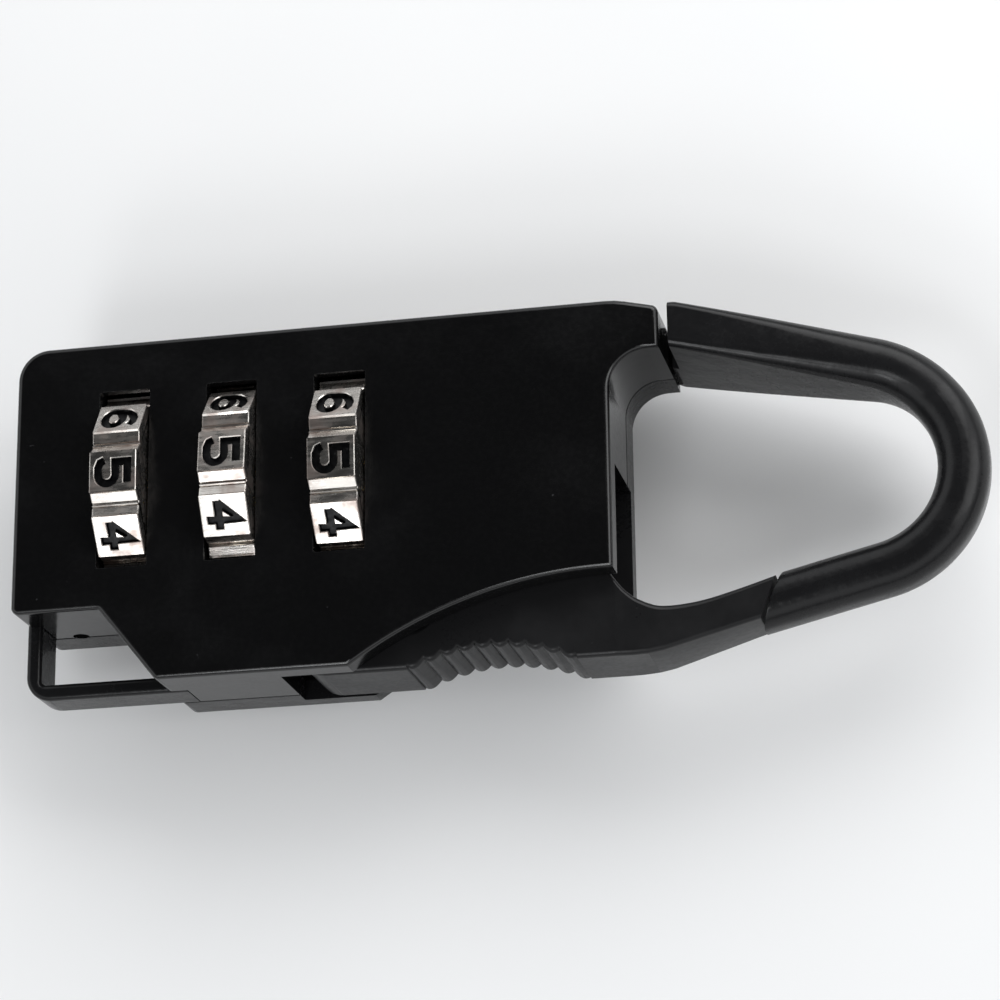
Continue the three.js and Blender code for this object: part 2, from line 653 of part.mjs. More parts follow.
function spindleSpring() {
  const [from, to] = SPINDLE_SPRING.x;
  const made = coil(SPINDLE_SPRING, to - from).rotateZ(-90 * DEG);
  return solid(made.translate(from, AXIS_Y, MID_Z));
}

// A plate with a 45 degree ramp at its top and a slot for the spindle's pilot.
function resetSlider() {
  const [left, right] = SLIDER.x;
  const [low, high] = SLIDER.y;
  const side = outline([[left, low], [right, low], [right, high - (right - left)], [left, high]]);
  const slotZ = [MID_Z - SLIDER.slotHalf, MID_Z + SLIDER.slotHalf];
  return prism(side, ...SLIDER.z).subtract(box([left - 1, right + 1], [SLIDER.slotFrom, high + 1], slotZ));
}

// ---------- detent spring and fasteners ----------

function detentSpring() {
  const under = [[STRIP.x[0], STRIP.low]];
  WHEEL_X.forEach((x) => {
    under.push([x - 3.4, STRIP.low], [x - 0.9, STRIP.dip], [x + 0.9, STRIP.dip]);
    under.push([x + 3.4, STRIP.low]);
  });
  under.push([STRIP.x[1], STRIP.low]);
  const over = under.map(([x, y]) => [x, y + STRIP.thick]).reverse();
  const made = prism(outline([...under, ...over]), ...STRIP.z);
  return DETENT_RIVET_X.reduce(
    (strip, x) => strip.subtract(pinAlongY(x, [19, 21], 0.55, MID_Z, 12)),
    made,
  );
}

function detentRivet(x) {
  const head = pinAlongY(x, [STRIP.low - 0.5, STRIP.low - 0.05], 0.9, MID_Z, 16);
  return head.add(pinAlongY(x, [STRIP.low - 0.3, STRIP.low + 1.2], 0.5, MID_Z, 12));
}

function coverRivet(at) {
  const shank = pinAlongZ(at, RIVET.r, [-10.5, -3.0], 16);
  return shank.add(pinAlongZ(at, RIVET.head, [0.05 - THICK, 0.6 - THICK], 20));
}

// ---------- assembly ----------

const lock = new THREE.Group();
lock.add(
  meshOf("front_cover", frontCover(), "gloss"),
  meshOf("back_casting", backCasting(), "satin"),
  meshOf("gate_lever", gateLever(), "satin"),
  meshOf("gate_pivot_pin", gatePivotPin(), "steel"),
  meshOf("gate_spring", gateSpring(), "steel"),
  meshOf("fence_bar", fenceBar(), "zinc"),
  meshOf("fence_pin", fencePin(), "steel"),
  meshOf("spindle", spindle(), "steel"),
  meshOf("spindle_clip", spindleClip(), "steel"),
  meshOf("spindle_spring", spindleSpring(), "steel"),
  meshOf("reset_slider", resetSlider(), "zinc"),
  meshOf("detent_spring", detentSpring(), "steel"),
);
WHEEL_X.forEach((_, i) => {
  lock.add(meshOf(`number_wheel_${i + 1}`, numberWheel(i), "chrome"));
  lock.add(meshOf(`code_sleeve_${i + 1}`, codeSleeve(i), "brass"));
});
DETENT_RIVET_X.forEach((x, i) => {
  lock.add(meshOf(`detent_rivet_${i + 1}`, detentRivet(x), "steel"));
});
RIVETS.forEach((at, i) => {
  lock.add(meshOf(`cover_rivet_${i + 1}`, coverRivet(at), "steel"));
});

const bounds = new THREE.Box3().setFromObject(lock);
const middle = bounds.getCenter(new THREE.Vector3());
const NUDGE = 3e-5; // keeps points off the halfway marks when they are rounded to 0.1 micrometre
lock.position.set(NUDGE - middle.x, -middle.y, -bounds.min.z);

const part = new THREE.Group();
part.add(lock);

export default part;
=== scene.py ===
"""The looks of a luggage combination padlock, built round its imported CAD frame.

Shapes are made in the lock's own frame, in millimetres: x runs from the eyelet end to the hook,
y across the body towards the long straight edge, z out of the front cover, whose face is z = 0.
finished() turns each shape into metres in the shared frame and lets it ride on its body.
"""
import json
import math

import bmesh
import bpy
from mathutils import Matrix, Vector


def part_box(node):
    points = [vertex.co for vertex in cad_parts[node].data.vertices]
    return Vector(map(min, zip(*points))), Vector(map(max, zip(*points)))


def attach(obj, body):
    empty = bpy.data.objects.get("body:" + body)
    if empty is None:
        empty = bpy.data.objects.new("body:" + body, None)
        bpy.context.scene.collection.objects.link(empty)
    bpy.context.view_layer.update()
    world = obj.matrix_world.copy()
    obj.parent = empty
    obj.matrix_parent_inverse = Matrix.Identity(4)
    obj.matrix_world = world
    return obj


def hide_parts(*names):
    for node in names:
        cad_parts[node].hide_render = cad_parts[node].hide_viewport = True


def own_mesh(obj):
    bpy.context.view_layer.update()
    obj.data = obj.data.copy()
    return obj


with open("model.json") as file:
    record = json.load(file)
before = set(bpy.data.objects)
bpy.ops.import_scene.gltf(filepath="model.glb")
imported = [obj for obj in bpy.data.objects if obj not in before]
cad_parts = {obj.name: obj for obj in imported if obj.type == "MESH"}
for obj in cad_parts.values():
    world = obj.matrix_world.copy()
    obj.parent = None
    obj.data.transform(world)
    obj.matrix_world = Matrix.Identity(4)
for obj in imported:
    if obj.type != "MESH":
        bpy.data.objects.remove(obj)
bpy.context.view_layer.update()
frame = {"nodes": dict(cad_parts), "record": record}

scene = bpy.context.scene
nodes = frame["nodes"]

# ---------- driving sizes, in millimetres ----------

MM = 0.001
THICK = 11.0
MID_Z = -THICK / 2
LEFT_X = -0.2
TOP_Y = 21.57
BOTTOM_Y = -6.12
NOTCH_Y = -0.2
END_X = 47.3
SEAM_X = 51.2
SPLIT_Z = -7.55
SPLIT_GAP = 0.05
WALL = 1.6
LIP_ARC = (47.0, -35.55, 35.7)  # centre and radius of the cover's edge over the gate

WHEEL_X = (8.75, 17.45, 26.15)
WHEEL_TURN = (-1.7, 5.4, -3.7)
AXIS_Y = 10.2
WHEEL_WIDTH = 3.8
FACE_R = 8.13
FACE_HALF = 11.4
SLOT_WIDTH = 4.1
SLOT_Y = (3.0, 17.5)
WHEEL_ROOM_R = 8.65
WHEEL_BORE_R = 3.0
CLUTCH_R = 3.9
CLUTCH_FLOOR_X = -0.5  # from the wheel's middle
DIGITS = 10
SHOWN_DIGIT = 5

PIVOT = (24.3, -4.3)
GATE_BAY = ((21.1, 48), (-7, 8.9), (-9.1, -2.0))  # room for the gate and its swing
GATE_BOSS_R = 1.8
GATE_Z = (-8.9, -2.2)
GRIP = (30.9, 44.0)
GRIP_DEPTH = 1.5
GRIP_RIBS = 10
GRIP_RIB_FOOT = 0.17
GRIP_RIB_RISE = 0.36
GATE_TIP_X = 57.9
GATE_LEAN = (52.0, 1.22)  # where the sections begin to lean, and how far they lean at the nose
GATE_THINNING = (47, 13)  # where the gate begins to thin down to the hook's bar, and over what length
FENCE_ROOM = ((28.8, 32.7), (-5.3, 0), (-7.3, -3.7))
FENCE_PIN = (30.3, -4.1)
FENCE_SLOT_R = 0.6
FENCE_SLOT_RUN = (0.34, -0.06)
FENCE_SLOT_Z = (-8.4, -2.7)
GATE_SPRING_X = 41.2
GATE_SPRING_Y = (-0.9, 9.6)
GATE_SPRING_POCKET = (1.95, (-1.0, 4))  # radius and reach along y
GATE_COIL = (1.35, 10.5, 7, 0.28)  # radius, length, turns and the wire's radius
SPINDLE_COIL = (1.7, 2.6, 3.5, 0.2)
SPINDLE_SPRING_X = (32.45, 35.1)

BAR_HALF_WIDTH = 2.0
BAR_HALF_DEPTH = 2.4
ROOT_HALF_WIDTH = 1.79
HOOK_TAPER = 22.5
BEND = (65.27, 7.96, 8.22)
UPPER_TILT = 12.9
LOWER_TILT = 13.4
ROOT_HALF_DEPTH = 5.45
UPPER_REACH = 16.5  # how far the straight arms run along x from the bend
LOWER_REACH = 10
ROOT_X = (51.35, 51.9)  # where the hook's root begins, below and above ROOT_STEP_Z
ROOT_STEP_Z = -5.95
NOSE_SEAM = ((56.97, -7), (60.55, 2.8))

CHAMBER_LOWER = ((1.4, 1.4), (7.67, 1.4), (12.36, -4.5), (26.0, -4.5))
CHAMBER_ARC = (121, 92, 16)  # first angle, last angle and count
CHAMBER_UPPER = ((45.7, 20.0), (3.4, 20.0), (1.4, 18.0))
EDGE_ROUND = 0.4
SPLIT_ROUND = 0.12
EYELET_Z = (-7.86, -4.06)
RIVETS = ((4.4, 17.0), (33.2, 17.2), (43.0, 17.0))
RIVET_POST_R = 2.1
RIVET_HOLE_R = 0.95
RIVET_HEAD_R = 1.6
PIVOT_HOLE_R = 0.85
PIVOT_HEAD_R = 1.35
RESET_HOLE = (3.2, -7.2, 0.65)  # x, z and radius
SPINDLE_HOLE_R = 1.3
SPINDLE_HOLE_X = (34, 38)
SPINDLE_PILOT_R = 0.8
SPINDLE_PILOT_X = (0.3, 3)
SPINDLE_SEAT = ((1.0, 2.1), (8.4, 12.0))
SPINDLE_BEARING = ((35.2, 36.6), (7.6, 12.8))
FENCE_GUIDE = ((13.0, 26.2), (-2.1, -0.6))
FENCE_POST = ((10.4, 11.0), (-1.5, 0.6))
RESET_GUIDE = ((5.25, 6.3), (1.7, 4.6))
SPRING_SEAT = ((39.2, 43.2), (9.7, 11.2))

cover_low, cover_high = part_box("front_cover")
ORIGIN = Vector((cover_low.x - LEFT_X * MM, cover_high.y - TOP_Y * MM, cover_high.z))


def rad(degrees):
    return math.radians(degrees)


# ---------- shape tools ----------


def object_from(name, points, faces):
    mesh = bpy.data.meshes.new(name)
    mesh.from_pydata([tuple(p) for p in points], [], faces)
    mesh.update()
    made = bpy.data.objects.new(name, mesh)
    scene.collection.objects.link(made)
    return made


def loft(name, rings):
    """A closed solid through rings of points that all have the same count, with flat ends."""
    count = len(rings[0])
    points = [p for ring in rings for p in ring]
    faces = [list(range(count))[::-1]]
    for r in range(len(rings) - 1):
        for i in range(count):
            j = (i + 1) % count
            a, b = r * count, (r + 1) * count
            faces.append([a + i, a + j, b + j, b + i])
    last = (len(rings) - 1) * count
    faces.append([last + i for i in range(count)])
    return object_from(name, points, faces)


def corners(marks, step=7.0):
    """A closed outline from (x, y, radius) marks, each corner rounded by its radius."""
    points = []
    for i, (x, y, radius) in enumerate(marks):
        here = Vector((x, y))
        if radius <= 0:
            points.append((x, y))
            continue
        back = (Vector(marks[i - 1][:2]) - here).normalized()
        ahead = (Vector(marks[(i + 1) % len(marks)][:2]) - here).normalized()
        half = back.angle(ahead) / 2
        centre = here + (back + ahead).normalized() * (radius / math.sin(half))
        start = here + back * (radius / math.tan(half)) - centre
        end = here + ahead * (radius / math.tan(half)) - centre
        sweep = math.atan2(start.cross(end), start.dot(end))
        count = max(2, round(abs(math.degrees(sweep)) / step))
        for k in range(count + 1):
            turned = start.copy()
            turned.rotate(Matrix.Rotation(sweep * k / count, 2))
            points.append(tuple(centre + turned))
    return points


def inset(points, distance):
    """The outline moved inwards; it runs anticlockwise."""
    moved = []
    for i, point in enumerate(points):
        before = (Vector(point) - Vector(points[i - 1])).normalized()
        after = (Vector(points[(i + 1) % len(points)]) - Vector(point)).normalized()
        left_before, left_after = Vector((-before.y, before.x)), Vector((-after.y, after.x))
        mitre = (left_before + left_after) / (1 + left_before.dot(left_after))
        moved.append(tuple(Vector(point) + mitre * distance))
    return moved


def plate(name, outline, low, high, round_low=0.0, round_high=0.0, steps=5):
    """An outline raised from low to high, with both rims rounded."""
    rings = []

    def ring(distance, z):
        rings.append([(x, y, z) for x, y in inset(outline, distance)])

    for k in range(steps if round_low else 0):
        turn = rad(90 * k / steps)
        ring(round_low * (1 - math.sin(turn)), low + round_low * (1 - math.cos(turn)))
    ring(0, low + round_low)
    ring(0, high - round_high)
    for k in range(1, steps + 1 if round_high else 1):
        turn = rad(90 * k / steps)
        ring(round_high * (1 - math.cos(turn)), high - round_high * (1 - math.sin(turn)))
    return loft(name, rings)


def block(x, y, z):
    return plate("tool", [(x[0], y[0]), (x[1], y[0]), (x[1], y[1]), (x[0], y[1])], *z)


def circle(cx, cy, radius, sides):
    turns = [2 * math.pi * i / sides for i in range(sides)]
    return [(cx + radius * math.cos(t), cy + radius * math.sin(t)) for t in turns]


def along_z(at, radius, z, sides=40, rounding=0.0):
    return plate("tool", circle(*at, radius, sides), *z, 0, rounding, 3)


TO_X = Matrix(((0, 0, 1), (1, 0, 0), (0, 1, 0))).to_4x4()  # outline in y and z, raised along x
TO_Y = Matrix(((0, 1, 0), (0, 0, 1), (1, 0, 0))).to_4x4()  # outline in z and x, raised along y


def along_x(at, radius, x, sides=40):
    made = plate("tool", circle(*at, radius, sides), *x)
    made.data.transform(TO_X)
    return made


def along_y(x, radius, y, z, sides=32):
    made = plate("tool", circle(z, x, radius, sides), *y)
    made.data.transform(TO_Y)
    return made


def settle(obj):
    """Applies the object's modifiers to its mesh."""
    graph = bpy.context.evaluated_depsgraph_get()
    made = bpy.data.meshes.new_from_object(obj.evaluated_get(graph), depsgraph=graph)
    old = obj.data
    obj.modifiers.clear()
    obj.data = made
    bpy.data.meshes.remove(old)


def combine(obj, tools, operation):
    for tool in tools:
        modifier = obj.modifiers.new("combine", "BOOLEAN")
        modifier.operation = operation
        modifier.solver = "MANIFOLD"
        modifier.object = tool
        settle(obj)
        bpy.data.objects.remove(tool)
    return obj


def cut(obj, *tools):
    return combine(obj, tools, "DIFFERENCE")


def join(obj, *tools):
    return combine(obj, tools, "UNION")


def soften(obj, pick, width, segments=3):
    """Rounds the edges for which pick(edge) is true."""
    shape = bmesh.new()
    shape.from_mesh(obj.data)
    edges = [edge for edge in shape.edges if pick(edge)]
    bmesh.ops.bevel(
        shape, geom=edges, offset=width, segments=segments, profile=0.5, affect="EDGES", clamp_overlap=True
    )
    shape.to_mesh(obj.data)
    shape.free()


def finished(obj, name, body, slot, replaced, *materials, angle=32, flat=0.99999):
    """Names the shape, gives it its place, materials and shading, and lets it ride on its body.

    Edges sharper than angle stay sharp, and so do the rims of faces square to an axis (within flat),
    so that the big flats are shaded flat.
    """
    obj.name = name
    obj.data.name = name
    obj.data.transform(Matrix.Translation(ORIGIN) @ Matrix.Scale(MM, 4))
    if materials:
        obj.data.materials.clear()
        for material in materials:
            obj.data.materials.append(material)
    obj.data.shade_smooth()
    obj.data.set_sharp_from_angle(angle=rad(angle))
    borders = {}
    for face in obj.data.polygons:
        if max(abs(c) for c in face.normal) > flat:
            for key in face.edge_keys:
                borders[key] = borders.get(key, 0) + 1
    for edge in obj.data.edges:
        if borders.get(edge.key) == 1:
            edge.use_edge_sharp = True
    weighted = obj.modifiers.new("normals", "WEIGHTED_NORMAL")
    weighted.keep_sharp = True
    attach(obj, body)
    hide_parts(*replaced)
    return obj


# ---------- materials ----------


class Nodes:
    """A material's node tree with short names for the nodes it needs."""

    def __init__(self, name):
        self.material = bpy.data.materials.new(name)
        self.material.use_nodes = True
        self.tree = self.material.node_tree
        self.shader = self.tree.nodes["Principled BSDF"]
        self.place = self.tree.nodes.new("ShaderNodeTexCoord").outputs["Object"]

    def set(self, **values):
        for key, value in values.items():
            self.shader.inputs[key.replace("_", " ")].default_value = value

    def noise(self, scale, detail=3.0, roughness=0.55, stretch=(1, 1, 1), offset=(0, 0, 0)):
        mapping = self.tree.nodes.new("ShaderNodeMapping")
        mapping.inputs["Scale"].default_value = stretch
        mapping.inputs["Location"].default_value = offset
        self.tree.links.new(self.place, mapping.inputs["Vector"])
        made = self.tree.nodes.new("ShaderNodeTexNoise")
        made.inputs["Scale"].default_value = scale
        made.inputs["Detail"].default_value = detail
        made.inputs["Roughness"].default_value = roughness
        self.tree.links.new(mapping.outputs["Vector"], made.inputs["Vector"])
        return made.outputs["Fac"]

    def span(self, value, low_in, high_in, low, high):
        """value from low_in..high_in to low..high, held at both ends."""
        made = self.tree.nodes.new("ShaderNodeMapRange")
        made.interpolation_type = "SMOOTHSTEP"
        for key, number in zip(("From Min", "From Max", "To Min", "To Max"), (low_in, high_in, low, high)):
            made.inputs[key].default_value = number
        self.tree.links.new(value, made.inputs["Value"])
        return made.outputs["Result"]

    def mix(self, share, first, second):
        made = self.tree.nodes.new("ShaderNodeMix")
        made.data_type = "RGBA"
        self.tree.links.new(share, made.inputs[0])
        for socket, colour in ((made.inputs[6], first), (made.inputs[7], second)):
            if isinstance(colour, tuple):
                socket.default_value = (*colour, 1)
            else:
                self.tree.links.new(colour, socket)
        return made.outputs[2]

    def plus(self, first, second, operation="ADD"):
        made = self.tree.nodes.new("ShaderNodeMath")
        made.operation = operation
        for socket, value in zip(made.inputs, (first, second)):
            if isinstance(value, (int, float)):
                socket.default_value = value
            else:
                self.tree.links.new(value, socket)
        return made.outputs[0]

    def link(self, value, socket):
        self.tree.links.new(value, self.shader.inputs[socket])

    def bump(self, height, distance, strength=1.0):
        made = self.tree.nodes.new("ShaderNodeBump")
        made.inputs["Distance"].default_value = distance
        made.inputs["Strength"].default_value = strength
        self.tree.links.new(height, made.inputs["Height"])
        self.tree.links.new(made.outputs["Normal"], self.shader.inputs["Normal"])


def black_paint(name, base, rough, lumps, coat, specular):
    """Baked paint on die-cast zinc: smudges, a fine orange peel and a few specks of dust."""
    made = Nodes(name)
    smudge = made.noise(95, 4, 0.6)
    fine = made.noise(2600, 2, 0.5, offset=(0.3, 0.1, 0))
    grain = made.span(fine, 0.3, 0.7, 0, 0.05)
    made.link(made.plus(made.span(smudge, 0.35, 0.7, *rough), grain), "Roughness")
    dusty = made.span(made.noise(1500, 1, 0.4, offset=(0.7, 0, 0.2)), 0.8, 0.85, 0, 1)
    worn = made.mix(made.span(smudge, 0.45, 0.75, 0, 1), base, tuple(1.5 * c for c in base))
    made.link(made.mix(dusty, worn, (0.03, 0.03, 0.032)), "Base Color")
    made.set(Coat_Weight=coat, Coat_Roughness=0.12, Specular_IOR_Level=specular)
    peel = made.plus(made.noise(620, 3, 0.5), lumps, "MULTIPLY")
    made.bump(made.plus(peel, made.plus(fine, 0.06, "MULTIPLY")), 0.00006)
    return made.material


def plated(name, light, dark, rough, streak=(1, 1, 1)):
    """Plated or bare metal: stained patches, fine streaks and handling scratches."""
    made = Nodes(name)
    patches = made.noise(480, 4, 0.6, offset=(0.2, 0.5, 0))
    streaks = made.noise(3000, 3, 0.6, stretch=streak)
    made.link(made.mix(made.span(patches, 0.38, 0.68, 0, 1), light, dark), "Base Color")
    drawn = made.span(streaks, 0.3, 0.7, 0, 0.1)
    made.link(made.plus(made.span(patches, 0.35, 0.7, *rough), drawn), "Roughness")
    made.set(Metallic=1.0)
    made.bump(streaks, 0.000012)
    return made.material


def digit_paint():
    """The dark paint in the engraved numbers, a little chipped."""
    made = Nodes("digit_paint")
    chips = made.noise(2200, 3, 0.6)
    black, chipped = (0.0015, 0.0015, 0.002), (0.02, 0.02, 0.02)
    made.link(made.mix(made.span(chips, 0.62, 0.72, 0, 1), black, chipped), "Base Color")
    made.link(made.span(chips, 0.3, 0.7, 0.3, 0.5), "Roughness")
    made.set(Specular_IOR_Level=0.2)
    made.bump(chips, 0.00004)
    return made.material


GLOSS = black_paint("gloss_black_paint", (0.0028, 0.0028, 0.003), (0.14, 0.2), 0.12, 0.05, 0.4)
SATIN = black_paint("satin_black_paint", (0.0075, 0.0075, 0.008), (0.2, 0.3), 0.9, 0.08, 0.17)
GATE_PAINT = black_paint("gate_black_paint", (0.008, 0.008, 0.0085), (0.26, 0.36), 0.35, 0.05, 0.18)
CHROME = plated("worn_chrome", (0.7, 0.67, 0.63), (0.4, 0.34, 0.31), (0.16, 0.34), (0.15, 1, 1))
PAINT = digit_paint()
STEEL = plated("turned_steel", (0.5, 0.5, 0.51), (0.3, 0.29, 0.28), (0.22, 0.38), (1, 1, 0.15))
SPRING = plated("spring_steel", (0.42, 0.42, 0.44), (0.26, 0.25, 0.25), (0.2, 0.34))
ZINC = plated("bare_zinc", (0.4, 0.41, 0.43), (0.28, 0.28, 0.29), (0.36, 0.52))
BRASS = plated("turned_brass", (0.62, 0.43, 0.18), (0.4, 0.25, 0.1), (0.22, 0.38), (0.2, 1, 1))

# ---------- body ----------


def lip_arc(grow=0.0, first=None, last=90.0, count=40):
    """Points of the cover's edge over the gate, from the lower edge towards the hook."""
    cx, cy, radius = LIP_ARC
    start = 180 - math.degrees(math.asin((BOTTOM_Y - cy) / radius)) if first is None else first
    turns = [rad(start + (last - start) * k / count) for k in range(count + 1)]
    return [(cx + (radius + grow) * math.cos(t), cy + (radius + grow) * math.sin(t)) for t in turns]


def body_outline():
    marks = [(LEFT_X, NOTCH_Y, 0.62), (6.9, NOTCH_Y, 0.3), (11.6, BOTTOM_Y, 0.62)]
    marks += [(x, y, 0) for x, y in lip_arc()]
    marks += [(END_X, LIP_ARC[1] + LIP_ARC[2], 0), (END_X, 17.4, 3.0), (SEAM_X, 17.4, 0)]
    marks += [(SEAM_X, 20.78, 0.62), (47.9, TOP_Y, 6.0), (LEFT_X, TOP_Y, 2.5)]
    return corners(marks)


def chamber(low, high):
    return plate("tool", [*CHAMBER_LOWER, *lip_arc(WALL, *CHAMBER_ARC), *CHAMBER_UPPER], low, high)


def wheel_rooms():
    tools = []
    for x in WHEEL_X:
        half = SLOT_WIDTH / 2
        tools.append(along_x((AXIS_Y, MID_Z), WHEEL_ROOM_R, (x - half, x + half), 64))
        rim = [(x - half, SLOT_Y[0], 0.2), (x + half, SLOT_Y[0], 0.2)]
        rim += [(x + half, SLOT_Y[1], 0.2), (x - half, SLOT_Y[1], 0.2)]
        tools.append(plate("tool", corners(rim, 30), -THICK - 1, 1))
    return tools


def slot_rim_edges(level):
    """Picks the edges round the wheel slots, where a slot wall meets the face at that level."""

    def pick(edge):
        if any(abs(v.co.z - level) > 1e-3 for v in edge.verts) or edge.calc_face_angle(0) < 1:
            return False
        middle = (edge.verts[0].co + edge.verts[1].co) / 2
        near = min(abs(middle.x - x) for x in WHEEL_X)
        return near < SLOT_WIDTH / 2 + 0.05 and SLOT_Y[0] - 0.05 < middle.y < SLOT_Y[1] + 0.05

    return pick


def reset_hole():
    x, z, radius = RESET_HOLE
    return along_y(x, radius, (NOTCH_Y - 1, WALL), z)


def front_cover():
    split = SPLIT_Z + SPLIT_GAP
    lid = -WALL + 0.2
    made = plate("cover", body_outline(), split, 0, SPLIT_ROUND, EDGE_ROUND)
    cut(made, chamber(-THICK, -WALL), block(*GATE_BAY))
    join(
        made,
        block(*SPINDLE_SEAT, (split + 0.1, lid)),
        block(*SPINDLE_BEARING, (MID_Z + SPLIT_GAP, lid)),
        block(*FENCE_GUIDE, (-3.8, lid)),
    )
    for at in RIVETS:
        join(made, along_z(at, RIVET_POST_R, (split + 0.05, lid)))
        cut(made, along_z(at, RIVET_HOLE_R, (-8, -2.8)))
    cut(made, *wheel_rooms())
    cut(made, along_x((AXIS_Y, MID_Z), SPINDLE_PILOT_R, SPINDLE_PILOT_X))
    cut(made, along_x((AXIS_Y, MID_Z), SPINDLE_HOLE_R, SPINDLE_HOLE_X))
    cut(made, along_z(PIVOT, PIVOT_HOLE_R, (-4, -0.8)), reset_hole())
    cut(made, plate("tool", eyelet_outline(0.1), EYELET_Z[0], EYELET_Z[1] + 0.1))
    soften(made, slot_rim_edges(0), 0.12)
    return finished(made, "front_cover_shell", "housing", "black_gloss", ["front_cover"], GLOSS)


def eyelet_outline(grow=0.0):
    """The bar round two sides of the cord window; grow widens it for the cover's clearance."""
    marks = [(LEFT_X - grow, 1.2 + grow, 0), (LEFT_X - grow, BOTTOM_Y - grow, 2.0 + grow)]
    marks += [(13.0 + grow, BOTTOM_Y - grow, 0), (13.0 + grow, -4.85 + grow, 0)]
    marks += [(1.0 + grow, -4.85 + grow, 0.45), (1.0 + grow, 1.2 + grow, 0)]
    return corners(marks)


# ---------- hook ----------


def hook_route(steps=220):
    """Centre points and directions of the hook's bar, and the travel from its root, up to the nose."""
    bx, by, radius = BEND
    upper, lower = 90 - UPPER_TILT, -(90 - LOWER_TILT)
    start = Vector((bx + radius * math.cos(rad(upper)), by + radius * math.sin(rad(upper))))
    end = Vector((bx + radius * math.cos(rad(lower)), by + radius * math.sin(rad(lower))))
    back, ahead = UPPER_REACH / math.cos(rad(UPPER_TILT)), LOWER_REACH / math.cos(rad(LOWER_TILT))
    arc_length = rad(upper - lower) * radius
    route = []
    for k in range(steps + 1):
        s = (back + arc_length + ahead) * k / steps
        if s < back:
            way = Vector((math.cos(rad(UPPER_TILT)), -math.sin(rad(UPPER_TILT))))
            route.append((start - way * (back - s), way, s))
        elif s < back + arc_length:
            turn = rad(upper) - (s - back) / radius
            out = Vector((math.cos(turn), math.sin(turn)))
            route.append((Vector((bx, by)) + out * radius, Vector((out.y, -out.x)), s))
        else:
            way = Vector((-math.cos(rad(LOWER_TILT)), -math.sin(rad(LOWER_TILT))))
            route.append((end + way * (s - back - arc_length), way, s))
    return route


def smooth(value):
    """Eases 0..1 in and out."""
    value = min(max(value, 0.0), 1.0)
    return value * value * (3 - 2 * value)


def round_rectangle(wide, deep, radius, steps=9):
    """Half sizes to a ring of (side, up) points, with the same count whatever the sizes."""
    ring = []
    for quarter, (sx, sy) in enumerate(((1, 1), (-1, 1), (-1, -1), (1, -1))):
        for k in range(steps + 1):
            turn = rad(90 * (quarter + k / steps))
            side = sx * (wide - radius) + radius * math.cos(turn)
            ring.append((side, sy * (deep - radius) + radius * math.sin(turn)))
    return ring


def hook_bar():
    """The bar lofted along its route, from a deep slab at the root to a rounded bar."""
    rings = []
    for centre, way, travel in hook_route():
        share = min(travel / HOOK_TAPER, 1)
        fall = (ROOT_HALF_DEPTH - BAR_HALF_DEPTH) * (1 - share) ** 0.81
        deep = BAR_HALF_DEPTH - 0.1 + math.sqrt(fall * fall + 0.01)
        drawn_in = min(0.3 * max(52 - centre.x, 0), 0.36) if share < 1 else 0
        wide = ROOT_HALF_WIDTH + (BAR_HALF_WIDTH - ROOT_HALF_WIDTH) * share - drawn_in
        radius = min(0.55 + (BAR_HALF_WIDTH - 0.55) * smooth(share * 0.98), wide - 0.005, deep - 0.005)
        ring = []
        for side, up in round_rectangle(wide, deep, radius):
            ring.append((centre.x + way.y * side, centre.y - way.x * side, MID_Z + up))
        rings.append(ring)
    return loft("hook", rings)


def hook():
    made = hook_bar()
    start, end = Vector(NOSE_SEAM[0]), Vector(NOSE_SEAM[1])
    cut(made, plate("tool", [(50, start.y), tuple(start), tuple(end), (50, end.y)], -20, 5))
    along = (end - start).normalized()
    across = Vector((along.y, -along.x))

    def on_nose(edge):
        flush = all(abs((v.co.xy - start).dot(across)) < 2e-3 and v.co.x < 61.5 for v in edge.verts)
        return flush and edge.calc_face_angle(0) > 0.5

    soften(made, on_nose, 0.3)
    low, high = ROOT_X
    cut(made, block((40, high), (15, 25), (ROOT_STEP_Z, 2)))
    cut(made, block((40, low), (15, 25), (SPLIT_Z - SPLIT_GAP, 2)))

    def on_root(edge):
        flush = all(abs(v.co.x - high) < 1e-3 and v.co.z > ROOT_STEP_Z + 0.05 for v in edge.verts)
        return flush and edge.calc_face_angle(0) > 0.5

    soften(made, on_root, 0.22)
    return made


def back_casting():
    split = SPLIT_Z - SPLIT_GAP
    floor = -THICK + WALL - 0.2
    made = plate("casting", body_outline(), -THICK, split, EDGE_ROUND, SPLIT_ROUND)
    cut(made, chamber(-THICK + WALL, 0), block(*GATE_BAY))
    join(made, plate("tool", eyelet_outline(), *EYELET_Z, 0.4, 0.4))
    join(made, hook())
    join(
        made,
        block(*RESET_GUIDE, (floor, -3.2)),
        block(*SPINDLE_BEARING, (floor, MID_Z - SPLIT_GAP)),
        block(*FENCE_GUIDE, (floor, -7.2)),
        block(*FENCE_POST, (floor, -3.6)),
        block(*SPRING_SEAT, (floor, -2.6)),
    )
    for at in RIVETS:
        join(made, along_z(at, RIVET_POST_R, (floor, split)))
        cut(made, along_z(at, RIVET_HOLE_R, (-12, -7)), along_z(at, RIVET_HEAD_R, (-12, -10.3)))
    cut(made, *wheel_rooms())
    cut(made, along_x((AXIS_Y, MID_Z), SPINDLE_HOLE_R, SPINDLE_HOLE_X))
    cut(made, along_z(PIVOT, PIVOT_HOLE_R, (-12, -8)))
    cut(made, along_z(PIVOT, PIVOT_HEAD_R, (-12, -10.3)), reset_hole())
    soften(made, slot_rim_edges(-THICK), 0.12)
    return finished(made, "casting_with_hook", "housing", "black_satin", ["back_casting"], SATIN)


# ---------- gate ----------


